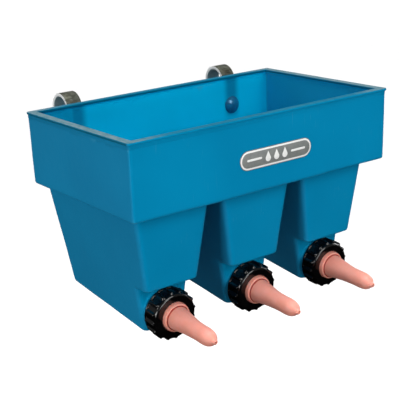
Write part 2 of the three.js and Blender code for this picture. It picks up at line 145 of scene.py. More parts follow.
def at_height(outline, height):
    """A plan outline as a ring of points at one height."""
    return np.column_stack([outline, np.full(len(outline), height)])


def prism(name, outline, low, high):
    """A closed solid over a plan outline, from one height to another, mm."""
    return make_object(name, *loft([at_height(outline, height) for height in (low, high)]))


def apply_modifiers(target):
    """Makes the object's modifiers part of its mesh."""
    evaluated = target.evaluated_get(bpy.context.evaluated_depsgraph_get())
    mesh = bpy.data.meshes.new_from_object(evaluated)
    target.modifiers.clear()
    target.data = mesh
    return target


def boolean(target, others, operation):
    """Joins other closed objects to the target, or cuts them out of it, and removes them."""
    for other in others:
        step = target.modifiers.new("boolean", "BOOLEAN")
        step.operation = operation
        step.solver = "MANIFOLD"
        step.object = other
        apply_modifiers(target)
        bpy.data.objects.remove(other)
    return target


def shade(target, angle=35.0):
    """Smooth shading, with edges past the angle kept sharp."""
    target.data.shade_smooth()
    target.data.set_sharp_from_angle(angle=math.radians(angle))
    return target


def bevel(target, width, angle):
    """Rounds every edge past the angle in two steps; width in mm."""
    step = target.modifiers.new("bevel", "BEVEL")
    step.width = width * MM
    step.segments = 2
    step.limit_method = "ANGLE"
    step.angle_limit = math.radians(angle)
    step.harden_normals = False
    return apply_modifiers(target)


def finish_piece(target, body, node):
    """Parents a finished piece to its body's empty, and hides the model's part that it stands for."""
    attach(target, body)
    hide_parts(node)


def arc(centre, radius, start, end, steps):
    """Points round part of a circle, angles in degrees."""
    angles = np.radians(np.linspace(start, end, steps + 1))
    return [(centre[0] + radius * math.cos(a), centre[1] + radius * math.sin(a)) for a in angles]


def rounded_rectangle(x_min, x_max, y_min, y_max, radius, steps=8):
    """A rounded rectangle in plan, counter-clockwise from the front right corner."""
    corners = [
        (x_max - radius, y_min + radius, -90),
        (x_max - radius, y_max - radius, 0),
        (x_min + radius, y_max - radius, 90),
        (x_min + radius, y_min + radius, 180),
    ]
    return np.array([
        point for x, y, start in corners for point in arc((x, y), radius, start, start + 90, steps)
    ])


def smooth_line(points, steps):
    """A Catmull-Rom curve through 2-D points, with so many steps between each two."""
    p = np.array([points[0], *points, points[-1]], float)
    line = []
    for a, b, c, d in zip(p, p[1:], p[2:], p[3:]):
        for t in np.arange(steps) / steps:
            square = (2 * a - 5 * b + 4 * c - d) * t**2
            cube = (3 * b - a - 3 * c + d) * t**3
            line.append(0.5 * (2 * b + (c - a) * t + square + cube))
    line.append(p[-1])
    return [tuple(q) for q in line]


def frame_at(origin, axis):
    """A matrix whose Z runs along the axis from the origin (metres), and whose X is the row's +X."""
    along = Vector(axis).normalized()
    across = Vector((1, 0, 0))
    matrix = Matrix((across, along.cross(across), along)).transposed().to_4x4()
    matrix.translation = Vector(origin)
    return matrix


def turned(name, profile, segments, place, radius_at=None):
    """A closed solid of revolution in mm. profile is (radius, along) round the section,
    counter-clockwise with the axis to the right. radius_at(index, radius, along, angles) shapes it,
    and gives one radius or one for each angle."""
    angles = np.linspace(0, 2 * math.pi, segments, endpoint=False)
    circle = np.column_stack([np.cos(angles), np.sin(angles)])
    rings = []
    for index, (radius, along) in enumerate(profile):
        if radius_at is not None:
            radius = radius_at(index, radius, along, angles)
        radii = np.broadcast_to(radius, segments)
        rings.append(at_height(circle * radii[:, None], along))
    made = make_object(name, np.concatenate(rings), grid_faces(len(rings), segments, closed_rows=True))
    weld(made)
    made.data.transform(place)
    made.data.update()
    return made


def cylinder(name, radius, start, end, place, segments=96):
    """A plain closed cylinder in mm along the place's Z."""
    return turned(name, [(0, start), (radius, start), (radius, end), (0, end)], segments, place)


def weld(target):
    """Merges points that fall together, such as those on a profile's axis, and turns faces outwards."""
    work = bmesh.new()
    work.from_mesh(target.data)
    bmesh.ops.remove_doubles(work, verts=work.verts, dist=1e-6)
    bmesh.ops.dissolve_degenerate(work, edges=work.edges, dist=1e-7)
    bmesh.ops.recalc_face_normals(work, faces=work.faces)
    work.to_mesh(target.data)
    work.free()


def thread(depth, start, end):
    """How far a right-hand thread's flank drops below its crest at each angle, faded at both ends, mm."""
    def drop(along, angles):
        phase = (along / THREAD_PITCH - angles / (2 * math.pi)) % 1.0
        flank = np.clip(np.abs(phase - 0.5) * 4.0 - 0.5, 0.0, 1.0)
        fade = np.clip(min(along - start, end - along) / 1.2, 0.0, 1.0)
        return depth * flank * fade
    return drop


# ---- materials ----
class Paint:
    """A material's nodes, made by short calls. Places are in the row frame, in metres. A call takes
    plain values or other nodes' outputs, and gives an output."""

    def __init__(self, name):
        self.material = bpy.data.materials.new(name)
        self.material.use_nodes = True
        self.tree = self.material.node_tree
        self.shader = next(n for n in self.tree.nodes if n.type == "BSDF_PRINCIPLED")
        self.place = self.node("ShaderNodeTexCoord").outputs["Object"]

    def node(self, kind, **settings):
        made = self.tree.nodes.new(kind)
        for key, value in settings.items():
            setattr(made, key, value)
        return made

    def feed(self, socket, value):
        """Links another node's output to the socket, or sets a plain value on it."""
        if isinstance(value, bpy.types.NodeSocket):
            self.tree.links.new(value, socket)
        elif socket.type == "RGBA":
            socket.default_value = (*value, 1.0)
        else:
            socket.default_value = value

    def feed_all(self, made, *values):
        """Feeds a node's first inputs in order, and returns its first output."""
        for socket, value in zip(made.inputs, values):
            self.feed(socket, value)
        return made.outputs[0]

    def set(self, **sockets):
        """Feeds the shader's own sockets, named with underscores for spaces."""
        for name, value in sockets.items():
            self.feed(self.shader.inputs[name.replace("_", " ")], value)

    def stretched(self, x, y, z):
        """The place with each axis scaled, for marks that run one way."""
        return self.feed_all(self.node("ShaderNodeVectorMath", operation="MULTIPLY"), self.place, (x, y, z))

    def noise(self, scale, detail=2.0, roughness=0.5, place=None):
        made = self.node("ShaderNodeTexNoise")
        self.feed(made.inputs["Vector"], place or self.place)
        for name, value in (("Scale", scale), ("Detail", detail), ("Roughness", roughness)):
            made.inputs[name].default_value = value
        return made.outputs["Fac"]

    def math(self, operation, a, b=0.0, clamp=False):
        return self.feed_all(self.node("ShaderNodeMath", operation=operation, use_clamp=clamp), a, b)

    def times(self, first, *others):
        """The product of its values."""
        for other in others:
            first = self.math("MULTIPLY", first, other)
        return first

    def size(self, value):
        """The value without its sign."""
        return self.math("ABSOLUTE", value)

    def ranged(self, value, low, high, to_low=0.0, to_high=1.0, smooth=False):
        """The value's range from low to high, stretched to another range and held beyond it."""
        kind = "SMOOTHSTEP" if smooth else "LINEAR"
        made = self.node("ShaderNodeMapRange", interpolation_type=kind)
        return self.feed_all(made, value, low, high, to_low, to_high)

    def mix(self, share, a, b, blend="MIX"):
        made = self.node("ShaderNodeMix", data_type="RGBA", blend_type=blend)
        colours = [s for s in made.inputs if s.type == "RGBA"]
        self.feed(made.inputs["Factor"], share)
        self.feed(colours[0], a)
        self.feed(colours[1], b)
        return next(s for s in made.outputs if s.type == "RGBA")

    def parts(self, vector):
        made = self.node("ShaderNodeSeparateXYZ")
        self.feed(made.inputs[0], vector)
        return made.outputs

    def normal_parts(self):
        return self.parts(self.node("ShaderNodeTexCoord").outputs["Normal"])

    def bump(self, *layers):
        """Each layer is (height, distance in mm); they add up."""
        normal = None
        for height, distance in layers:
            made = self.node("ShaderNodeBump")
            made.inputs["Strength"].default_value = 1.0
            made.inputs["Distance"].default_value = distance * MM
            self.feed(made.inputs["Height"], height)
            if normal is not None:
                self.feed(made.inputs["Normal"], normal)
            normal = made.outputs["Normal"]
        self.feed(self.shader.inputs["Normal"], normal)


# The planes through the middle of the band's end walls, and of its front wall at the height of z = 0.
END_MIDDLE = (RIM_LENGTH / 2 - LIP - WALL / 2) * MM
FRONT_MIDDLE = (REAR_Y - RIM_DEPTH + LIP + WALL / 2 + FRONT_LEAN * RIM_Z) * MM


def band_walls(paint, leaning):
    """1 on the walls inside the band, fading out at its floor; leaning is y along the front's draft."""
    x, y, z = paint.parts(paint.place)
    band_floor = (RIM_Z - BAND_HEIGHT) * MM
    return paint.times(
        paint.ranged(z, band_floor + 0.004, band_floor + 0.04),
        paint.math("LESS_THAN", z, (RIM_Z - RIM_THICKNESS - 0.4) * MM),
        paint.math("LESS_THAN", paint.size(x), END_MIDDLE),
        paint.math("GREATER_THAN", leaning, FRONT_MIDDLE),
        paint.math("LESS_THAN", y, (REAR_Y - WALL / 2) * MM),
    )


def painted_hook_shadows(paint):
    """The share of painted shade on the rear wall inside: painted shadows where the hooks' legs block the
    light through the wall, and painted shade in its left corner.
    """
    x, y, z = paint.parts(paint.place)
    from_hook = paint.size(paint.math("SUBTRACT", paint.size(x), HOOK_PITCH / 2 * MM))
    across = paint.ranged(from_hook, 0.004, 0.019, 1.0, 0.0, smooth=True)
    foot = HOOK_FOOT_Z * MM
    along = paint.ranged(z, foot - 0.008, foot + 0.006, smooth=True)
    corner_start, corner_end = (-HOOK_PITCH / 2 - 14) * MM, (-HOOK_PITCH / 2 + 8) * MM
    # painted shade in the rear wall's left corner
    painted_corner_shade = paint.ranged(x, corner_start, corner_end, 0.72, 0.0, smooth=True)
    from_wall = paint.size(paint.math("SUBTRACT", y, (REAR_Y - WALL) * MM))
    at_wall = paint.ranged(from_wall, 0.0012, 0.002, 1.0, 0.0)
    return paint.times(paint.math("MAXIMUM", paint.times(across, along), painted_corner_shade), at_wall)


def moulded_blue():
    """Rotationally moulded polyethylene: orange peel, slow colour drift, fine scuffs, pale edges that are
    part wear and part painted highlight, a rim in painted shade with a painted grey sheen and scrapes on
    its top, painted light on the walls inside, a painted sheen on faces that face the ends, and painted
    shadow strips where the hooks' legs block the light through the rear wall, with painted shade in its
    left corner."""
    paint = Paint("moulded blue polyethylene")
    x, y, z = paint.parts(paint.place)
    up = paint.normal_parts()["Z"]
    sideways = paint.ranged(paint.size(paint.normal_parts()["X"]), 0.4, 0.8)
    drift = paint.noise(7.0)
    speckle = paint.noise(900.0, 2.0, 0.6)
    colour = paint.mix(paint.ranged(drift, 0.3, 0.7), (0.0, 0.205, 0.40), (0.0, 0.23, 0.44))
    colour = paint.mix(paint.ranged(speckle, 0.55, 0.75, 0.0, 0.08), colour, (0.01, 0.28, 0.50))

    # scuffs: short, thin, pale marks, in patches, mostly upright
    long_marks = paint.noise(1.0, 1.0, 0.5, paint.stretched(700.0, 700.0, 28.0))
    cross_marks = paint.noise(1.0, 1.0, 0.5, paint.stretched(50.0, 50.0, 1100.0))
    long_marks = paint.ranged(long_marks, 0.66, 0.76)
    marks = paint.math("MAXIMUM", long_marks, paint.ranged(cross_marks, 0.72, 0.80))
    scuffs = paint.times(marks, paint.ranged(paint.noise(14.0, 3.0), 0.50, 0.66))
    colour = paint.mix(paint.times(scuffs, 0.30), colour, (0.07, 0.32, 0.50))

    # painted light: the walls inside the band are painted lighter, standing in for light through the
    # translucent walls, the end ones less so; and a painted greyish sheen on all faces that face the ends
    leaning = paint.math("ADD", y, paint.times(z, FRONT_LEAN))
    within = band_walls(paint, leaning)
    painted_inner_light = paint.times(within, paint.ranged(sideways, 0.0, 1.0, 1.0, 0.5))
    colour = paint.mix(painted_inner_light, colour, (1.0, 2.36, 1.96), "MULTIPLY")
    colour = paint.mix(sideways, colour, (0.007, 0.0, 0.0), "ADD")
    # painted shadow: soft dark strips below the hooks and a darker left corner on the rear wall inside
    painted_shadow_strip = paint.times(painted_hook_shadows(paint), within, 0.62)
    colour = paint.mix(painted_shadow_strip, colour, (0.002, 0.085, 0.21))

    # edges paler: partly rubbed wear, partly a painted highlight along them
    edge = paint.ranged(paint.node("ShaderNodeNewGeometry").outputs["Pointiness"], 0.515, 0.56)
    wear_and_highlight_patches = paint.ranged(paint.noise(30.0, 3.0), 0.35, 0.6, 0.15, 0.5)
    rubbed_and_highlit_edges = paint.times(edge, wear_and_highlight_patches, paint.math("LESS_THAN", z, (RIM_Z - 7.0) * MM))
    colour = paint.mix(rubbed_and_highlit_edges, colour, (0.06, 0.34, 0.52))

    # the rim painted darker all round but for its front nose: painted shade; and its top painted grey
    # towards the ends: a painted sheen, with scrape streaks
    # painted shade on the rim, sparing its lit front nose
    painted_rim_shade = paint.ranged(z, (RIM_Z - RIM_THICKNESS - 0.4) * MM, (RIM_Z - RIM_THICKNESS) * MM)
    outer = paint.math("LESS_THAN", leaning, FRONT_MIDDLE)
    front_nose = paint.math("SUBTRACT", outer, paint.ranged(up, 0.2, 0.6))
    painted_rim_shade = paint.math("SUBTRACT", painted_rim_shade, paint.math("MAXIMUM", front_nose, 0.0), clamp=True)
    colour = paint.mix(painted_rim_shade, colour, (0.4, 0.58, 0.52), "MULTIPLY")
    # painted sheen: the rim's top painted grey, strongest at the ends, with scrape streaks in it
    on_top = paint.ranged(z, (RIM_Z - 0.35) * MM, (RIM_Z - 0.1) * MM)
    top_sheen_and_scrapes = paint.times(on_top, paint.ranged(up, 0.6, 0.9))
    at_end = paint.ranged(paint.size(x), END_MIDDLE - 0.06, END_MIDDLE - 0.006, 0.06, 1.0)
    streaks = paint.noise(1.0, 3.0, 0.65, paint.stretched(150.0, 60.0, 150.0))
    sheen_and_scrape_colour = paint.mix(paint.ranged(streaks, 0.35, 0.65), (0.06, 0.155, 0.19), (0.14, 0.215, 0.25))
    colour = paint.mix(paint.times(top_sheen_and_scrapes, at_end), colour, sheen_and_scrape_colour)

    rough = paint.ranged(paint.noise(60.0, 3.0), 0.3, 0.7, 0.36, 0.48)
    rough = paint.math("ADD", rough, paint.times(scuffs, 0.2))
    rough = paint.math("ADD", rough, paint.times(top_sheen_and_scrapes, 0.12), clamp=True)
    paint.set(Base_Color=colour, Roughness=rough)
    paint.set(Specular_IOR_Level=0.14, Specular_Tint=(0.1, 0.7, 1.0))
    sag, peel = paint.noise(38.0), paint.noise(420.0, 2.0, 0.45)
    paint.bump((sag, 0.35), (peel, 0.05), (paint.times(streaks, top_sheen_and_scrapes), 0.25))
    return paint.material


def black_nylon():
    """Glossy black moulded nylon with faint flow marks, a little dust and fine wear."""
    paint = Paint("black nylon")
    dust = paint.ranged(paint.noise(120.0, 4.0, 0.6), 0.52, 0.78, 0.0, 0.10)
    colour = paint.mix(dust, (0.0016, 0.0015, 0.0017), (0.018, 0.018, 0.019))
    rough = paint.ranged(paint.noise(90.0, 3.0), 0.3, 0.7, 0.07, 0.13)
    paint.set(Base_Color=colour, Roughness=rough, Specular_IOR_Level=0.55)
    paint.bump((paint.noise(300.0), 0.06), (paint.noise(45.0), 0.25))
    return paint.material


def teat_rubber():
    """Soft salmon rubber: mottled, faintly bloomed, with a fine matt skin."""
    paint = Paint("teat rubber")
    mottle = paint.noise(55.0, 3.0, 0.55)
    bloom = paint.noise(210.0, 3.0, 0.6)
    colour = paint.mix(paint.ranged(mottle, 0.3, 0.7), (0.71, 0.272, 0.205), (0.76, 0.305, 0.24))
    colour = paint.mix(paint.ranged(bloom, 0.52, 0.75, 0.0, 0.25), colour, (0.75, 0.38, 0.33))
    paint.set(Base_Color=colour, Roughness=paint.ranged(mottle, 0.3, 0.7, 0.42, 0.55))
    paint.set(Subsurface_Weight=0.3, Subsurface_Radius=(1.0, 0.35, 0.22), Subsurface_Scale=0.005)
    paint.bump((paint.noise(700.0), 0.03), (paint.noise(90.0), 0.12))
    return paint.material


def galvanised():
    """Hot-dip galvanised flat bar: dulled olive-grey faces with spangle and streaks, a painted highlight
    that makes the bar's narrow side faces near white, and painted light on the inside of the arch."""
    paint = Paint("galvanised steel")
    cells = paint.node("ShaderNodeTexVoronoi")
    paint.feed(cells.inputs["Vector"], paint.place)
    paint.feed(cells.inputs["Scale"], 210.0)
    grey = paint.feed_all(paint.node("ShaderNodeRGBToBW"), cells.outputs["Color"])
    spangle = paint.ranged(grey, 0.2, 0.8)
    bloom = paint.noise(45.0, 4.0, 0.6)
    streaks = paint.noise(1.0, 2.0, 0.6, paint.stretched(60.0, 600.0, 600.0))
    colour = paint.mix(spangle, (0.075, 0.082, 0.062), (0.15, 0.16, 0.13))
    colour = paint.mix(paint.ranged(bloom, 0.4, 0.7, 0.0, 0.8), colour, (0.065, 0.062, 0.04))
    colour = paint.mix(paint.ranged(streaks, 0.52, 0.66, 0.0, 0.7), colour, (0.012, 0.015, 0.013))
    # painted light: the inside of the arch painted lighter and less metallic
    _, y, z = paint.parts(paint.place)
    below_crown = paint.math("ADD", z, HOOK_INNER_RADIUS * MM)
    squares = paint.math("ADD", paint.times(y, y), paint.times(below_crown, below_crown))
    near, far = (HOOK_INNER_RADIUS + 0.4) * MM, (HOOK_INNER_RADIUS + 1.6) * MM
    inside = paint.ranged(paint.math("SQRT", squares), near, far, 0.8, 0.0)
    colour = paint.mix(inside, colour, (0.36, 0.44, 0.43))
    # painted highlight: the bar's narrow side faces painted near white and less metallic
    painted_side_highlight = paint.ranged(paint.size(paint.normal_parts()["X"]), 0.75, 0.92)
    colour = paint.mix(painted_side_highlight, colour, (0.93, 0.94, 0.92))
    metal = paint.ranged(paint.math("MAXIMUM", painted_side_highlight, inside), 0.0, 1.0, 0.75, 0.1)
    paint.set(Base_Color=colour, Roughness=paint.ranged(grey, 0.2, 0.8, 0.34, 0.52), Metallic=metal)
    paint.bump((paint.noise(500.0, 3.0), 0.05), (bloom, 0.2))
    return paint.material


def plated(name, haze_scale, light, dark, rough, metallic, fine, coarse):
    """A plated metal with a slight haze; rough is its range, fine and coarse its marks as (scale, mm)."""
    paint = Paint(name)
    haze = paint.noise(haze_scale, 3.0, 0.6)
    colour = paint.mix(paint.ranged(haze, 0.35, 0.7), light, dark)
    paint.set(Base_Color=colour, Roughness=paint.ranged(haze, 0.3, 0.7, *rough), Metallic=metallic)
    paint.bump(*[(paint.noise(scale), depth) for scale, depth in (fine, coarse)])
    return paint.material


def plain_plastic(name, dark, light, rough_low, rough_high):
    """A moulded plastic or rubber with fine mottling between two near colours."""
    paint = Paint(name)
    mottle = paint.noise(160.0, 3.0, 0.6)
    paint.set(
        Base_Color=paint.mix(paint.ranged(mottle, 0.3, 0.7), dark, light),
        Roughness=paint.ranged(paint.noise(70.0, 3.0), 0.3, 0.7, rough_low, rough_high),
    )
    paint.bump((paint.noise(450.0), 0.04))
    return paint.material


def floor_paper():
    """The pale studio floor."""
    paint = Paint("studio floor")
    fleck = paint.noise(30.0, 4.0)
    paint.set(
        Base_Color=paint.mix(paint.ranged(fleck, 0.3, 0.7), (0.90, 0.90, 0.90), (0.93, 0.93, 0.93)),
        Roughness=paint.ranged(fleck, 0.3, 0.7, 0.75, 0.85),
    )
    return paint.material


MATERIALS = {
    "blue": moulded_blue(),
    "nylon": black_nylon(),
    "teat": teat_rubber(),
    "galvanised": galvanised(),
    "zinc": plated(
        "bright zinc", 80.0, (0.62, 0.64, 0.66), (0.46, 0.48, 0.50), (0.14, 0.28), 1.0,
        (600.0, 0.02), (120.0, 0.06),
    ),
    # blue passivated zinc, its deep blue partly a painted reflection of the blue walls round the bolt heads
    "passivated_painted_reflection": plated(
        "blue passivated zinc with painted reflection", 110.0, (0.01, 0.17, 0.32), (0.006, 0.11, 0.24), (0.16, 0.24), 0.2,
        (500.0, 0.02), (90.0, 0.15),
    ),
}
# name: dark and light colour, low and high roughness
for key, *look in (
    # the teat's groove: painted shade
    ("teat_groove_shade", (0.42, 0.045, 0.03), (0.52, 0.07, 0.05), 0.6, 0.75),
    ("valve", (0.045, 0.048, 0.055), (0.065, 0.068, 0.075), 0.35, 0.5),
    ("gasket", (0.010, 0.010, 0.010), (0.02, 0.02, 0.02), 0.65, 0.85),
    ("ball", (0.72, 0.70, 0.64), (0.80, 0.78, 0.73), 0.18, 0.3),
    ("badge_grey", (0.17, 0.185, 0.18), (0.215, 0.225, 0.215), 0.35, 0.5),
    ("badge_white", (0.80, 0.81, 0.79), (0.86, 0.86, 0.84), 0.35, 0.5),
    ("badge_edge", (0.10, 0.11, 0.11), (0.14, 0.15, 0.15), 0.35, 0.5),
):
    MATERIALS[key] = plain_plastic(key, *look)


def dress(target, *names):
    """Gives the object these materials, in slots of the same order."""
    target.data.materials.clear()
    for name in names:
        target.data.materials.append(MATERIALS[name])
    return target


# ---- trough ----
# Here y is 0 at the rear face, z is 0 at the rim plane and depth is positive down, all in mm.
VOXEL = 1.4
RELAX_ROUNDS = 5
ABOVE_RIM = 9.0
RIM_SEAM = 9.0  # the rim is made apart, down to this depth
TROUGH_TRIANGLES = 185000
CALM_FADE = 0.03  # metres over which the moulding's waves fade out
BADGE_MARGIN, BADGE_WAVES = 6.0, 0.15  # mm of calm ground beside the badge, and its share of waves
WAVES_INWARDS = 0.3  # mm that the waves lie below the model's faces


def band_ring(depth, inset, lip, radius):
    """The band's plan at a depth, so far inside its outer face, and out again by the lip."""
    along = depth / BAND_HEIGHT
    half = RIM_LENGTH / 2 - LIP - END_DRAFT * along - inset + lip
    front = -RIM_DEPTH + LIP + FRONT_DRAFT * along + inset - lip
    plan = rounded_rectangle(-half, half, front, -inset, radius)
    return at_height(plan, -depth)


def edge_steps(radius, steps=6):
    """(inset, rise) round a bottom edge, from the underside to the side."""
    angles = np.radians(np.linspace(90, 0, steps + 1))
    return [(radius * (1 - math.cos(a)), radius * (1 - math.sin(a))) for a in angles]


def band_outside():
    """The band's outer skin, from its rounded underside up past the rim."""
    rings = [
        band_ring(BAND_HEIGHT - rise, inset, 0, max(BAND_CORNER - inset, SMALLEST_RADIUS))
        for inset, rise in edge_steps(BAND_EDGE)
    ]
    lip_steps = [(LIP_HEIGHT, 0), (LIP_HEIGHT / 2, LIP), (-ABOVE_RIM, LIP)]
    return loft(rings + [band_ring(depth, 0, lip, BAND_CORNER) for depth, lip in lip_steps])


def band_inside():
    """The hollow inside the band."""
    top = -ABOVE_RIM - WALL
    return loft([band_ring(depth, WALL, 0, SMALLEST_RADIUS) for depth in (BAND_HEIGHT - WALL, top)])


def rim_ring():
    """The rim's rounded lip and flat land, turned inwards, on a tongue that goes into the wall below."""
    edge, nose, root, tongue = 1.0, 1.4, 1.6, 1.2
    outer = [(tongue, RIM_SEAM + tongue, 0), (0, RIM_SEAM, 0), (0, LIP_HEIGHT + 0.6, 0)]
    outer += [(0.1, LIP_HEIGHT, LIP / 3), (0, LIP_HEIGHT - 1.2, LIP - 0.15), (0, LIP_HEIGHT - 2.0, LIP)]
    outer += [(inset, depth, LIP) for inset, depth in arc((edge, edge), edge, 180, 270, 3)]
    inner_face = RIM_LAND - LIP
    inner = arc((inner_face - edge, edge), edge, -90, 0, 3)
    inner += arc((inner_face - nose, RIM_THICKNESS - nose), nose, 0, 90, 3)
    inner += arc((WALL + root, RIM_THICKNESS + root), root, -90, -180, 2)
    inner += [(WALL, RIM_SEAM), (WALL - tongue, RIM_SEAM + tongue)]
    rings = [
        band_ring(depth, inset, lip, max(BAND_CORNER - inset, SMALLEST_RADIUS))
        for inset, depth, lip in outer + [(inset, depth, 0) for inset, depth in inner]
    ]
    faces = grid_faces(len(rings), len(rings[0]), closed_rows=True)
    ring = make_object("rim_ring", *in_row((np.concatenate(rings), faces)))
    weld(ring)
    return ring


# A leg's faces at a depth: half its width, and the y of its front, its port wall and its rear.
def leg_half_width(depth):
    return LEG_HALF_WIDTH - LEG_TAPER * (depth - BAND_HEIGHT)


def leg_front(depth):
    return LEG_FRONT + LEG_FRONT_LEAN * (depth - BAND_HEIGHT)


def port_face(depth):
    return PORT_FACE + math.tan(PORT_TILT) * (depth - STEP_DEPTH)


def rear_face(depth):
    return -REAR_LEAN * max(depth - BAND_HEIGHT, 0)


def leg_ring(front_at, front_depth, rear_depth, inset, radius):
    """A leg's plan, which slopes from one depth at its front to another at its rear."""
    front = front_at(front_depth) + inset
    rear = rear_face(rear_depth) - inset
    half = leg_half_width(front_depth) - inset
    slope = (rear_depth - front_depth) / (rear - front)
    plan = rounded_rectangle(-half, half, front, rear, radius)
    depth = front_depth + slope * (plan[:, 1] - front)
    widening = -LEG_TAPER * (depth - front_depth)
    return np.column_stack([plan[:, 0] + np.sign(plan[:, 0]) * widening, plan[:, 1], -depth])


def leg_block(front_at, top_depths, floor_depth, floor_slope, wall, corner, edge):
    """A closed block of a leg from its rounded floor up to its top depths."""
    fall = floor_slope * (rear_face(floor_depth) - front_at(floor_depth))
    bottom = floor_depth - wall
    rings = []
    for inset, rise in edge_steps(edge):
        radius = max(corner - inset, SMALLEST_RADIUS)
        rings.append(leg_ring(front_at, bottom - rise, bottom - rise - fall, wall + inset, radius))
    for depth in top_depths:
        rings.append(leg_ring(front_at, depth, depth, wall, corner))
    return loft(rings)


def leg_blocks(wall):
    """The upper block of a leg and, under its overhang, the port block."""
    corner = max(LEG_CORNER - wall, SMALLEST_RADIUS)
    step_edge = max(STEP_EDGE - wall, SMALLEST_RADIUS)
    floor_edge = max(FLOOR_EDGE - wall, SMALLEST_RADIUS)
    leg_top = [BAND_HEIGHT, BAND_HEIGHT - LEG_ROOT]
    port_top = [STEP_DEPTH - 2 * STEP_EDGE]
    return [
        leg_block(leg_front, leg_top, STEP_DEPTH, 0, wall, corner, step_edge),
        leg_block(port_face, port_top, FLOOR_DEPTH, FLOOR_SLOPE, wall, corner, floor_edge),
    ]


def port_place(side):
    """The port's own frame: Z runs outwards along the teat's axis from the port face."""
    joint = next(j for j in frame["joints"] if j["name"] == f"nut_turn_{side}")
    return frame_at(joint["pos_m"], joint["axis"])


def in_row(shape, x_shift=0.0):
    """A shape's vertices moved into the row frame, mm."""
    vertices, faces = shape
    return vertices + np.array([x_shift, REAR_Y, RIM_Z]), faces


def trough_block(name, band, wall):
    """The band and the three legs as one solid, the legs' faces inset by the wall."""
    shapes = [in_row(band)]
    for sign in SIDES.values():
        shapes += [in_row(shape, sign * COMPARTMENT_PITCH) for shape in leg_blocks(wall)]
    first, *others = [make_object(name, *shape) for shape in shapes]
    return boolean(first, others, "UNION")


def port_pad(side):
    """The raised round pad round a port, trimmed to the leg's width."""
    beyond = PORT_FACE - 3 * PAD_HEIGHT
    limit = loft([
        leg_ring(lambda depth: beyond, depth, depth, 0.4, SMALLEST_RADIUS)
        for depth in (FLOOR_DEPTH, STEP_DEPTH)
    ])
    pad = cylinder("pad", PAD_RADIUS, -WALL / 2, PAD_HEIGHT, port_place(side))
    trim = make_object("pad_limit", *in_row(limit, SIDES[side] * COMPARTMENT_PITCH))
    return boolean(pad, [trim], "INTERSECT")


def relax(points, edges):
    """Evens out a mesh: in each round, every point moves halfway to the mean of its neighbours."""
    count = len(points)
    a, b = edges[:, 0], edges[:, 1]
    valence = np.bincount(edges.ravel(), minlength=count)[:, None]
    for _ in range(RELAX_ROUNDS):
        total = np.stack([
            np.bincount(a, points[b, k], count) + np.bincount(b, points[a, k], count) for k in range(3)
        ], 1)
        points = points + 0.5 * (total / valence - points)
    return points


def unevenness(points):
    """How far a moulded wall strays from flat at each point, mm: long slow waves and a shorter ripple."""
    waves = [
        (0.22, (21.0, 9.0, 13.0), 0.4), (0.18, (-13.0, 17.0, 24.0), 2.1), (0.12, (37.0, -29.0, 11.0), 4.0),
        (0.06, (71.0, 43.0, -58.0), 1.3), (0.05, (-66.0, 81.0, 47.0), 5.2),
    ]
    return sum(size * np.sin(points @ np.array(way) + phase) for size, way, phase in waves)


def read_rows(items, key, width, kind=float):
    """One attribute of every item of a mesh, as rows of numbers."""
    values = np.zeros(len(items) * width, kind)
    items.foreach_get(key, values)
    return values.reshape(-1, width)


def move_vertices(mesh, points):
    """Puts the mesh's vertices at the points, in metres."""
    mesh.vertices.foreach_set("co", points.ravel())
    mesh.update()


def moulded_skin(shell):
    """Gives the shell an even mesh with softened edges, a moulding's slight waves, and fewer faces."""
    remesh = shell.modifiers.new("remesh", "REMESH")
    remesh.mode = "VOXEL"
    remesh.voxel_size = VOXEL * MM
    mesh = apply_modifiers(shell).data
    edges = read_rows(mesh.edges, "vertices", 2, np.int32)
    points = relax(read_rows(mesh.vertices, "co", 3), edges)
    move_vertices(mesh, points)

    # the waves fade out towards the rim, and the badge's ground stays almost flat
    calm = np.clip((RIM_Z * MM - points[:, 2]) / CALM_FADE, 0.0, 1.0)
    from_badge = np.abs(points[:, 0] - BADGE_X * MM) - (BADGE_LENGTH / 2 + BADGE_MARGIN) * MM
    badge_far = np.clip(from_badge / CALM_FADE, BADGE_WAVES, 1.0)
    calm = calm * np.where(points[:, 1] < (REAR_Y - RIM_DEPTH + 8) * MM, badge_far, 1.0)
    waves = (unevenness(points) - WAVES_INWARDS) * calm * MM
    move_vertices(mesh, points + read_rows(mesh.vertices, "normal", 3) * waves[:, None])

    thin = shell.modifiers.new("thin", "DECIMATE")
    thin.ratio = min(1.0, TROUGH_TRIANGLES / (2 * len(mesh.polygons)))
    apply_modifiers(shell)


def square_neck(name, half, start, end, side):
    """A square bar along a hook bolt's axis, mm."""
    neck = prism(name, rounded_rectangle(-half, half, -half, half, NECK_CORNER, 3), start, end)
    neck.data.transform(bolt_place(side))
    return neck


def trough_shell():
    """The blue moulding: band, legs and pads, hollowed out, with its ports, bolt holes and rim."""
    shell = trough_block("trough_shell", band_outside(), 0)
    boolean(shell, [port_pad(side) for side in SIDES], "UNION")
    boolean(shell, [trough_block("trough_hollow", band_inside(), WALL)], "DIFFERENCE")
    moulded_skin(shell)

    # the ports and the bolts' square holes are cut clean, and the rim goes on
    beyond = rounded_rectangle(-RIM_LENGTH, RIM_LENGTH, -2 * RIM_DEPTH, RIM_DEPTH, BAND_CORNER)
    cutters = [prism("rim_cut", beyond, RIM_Z - RIM_SEAM, RIM_Z + 3 * ABOVE_RIM)]
    for side in SIDES:
        cutters.append(cylinder("port_cut", PORT_HOLE, -3 * WALL, 3 * PAD_HEIGHT, port_place(side)))
    for sign in HOOK_SIDES.values():
        cutters.append(square_neck("neck_cut", BOLT_RADIUS + GAP, -3 * WALL, WALL, sign))
    boolean(shell, cutters, "DIFFERENCE")
    boolean(shell, [rim_ring()], "UNION")
    dress(shade(shell, 50.0), "blue")
    finish_piece(shell, "trough", "trough_body")


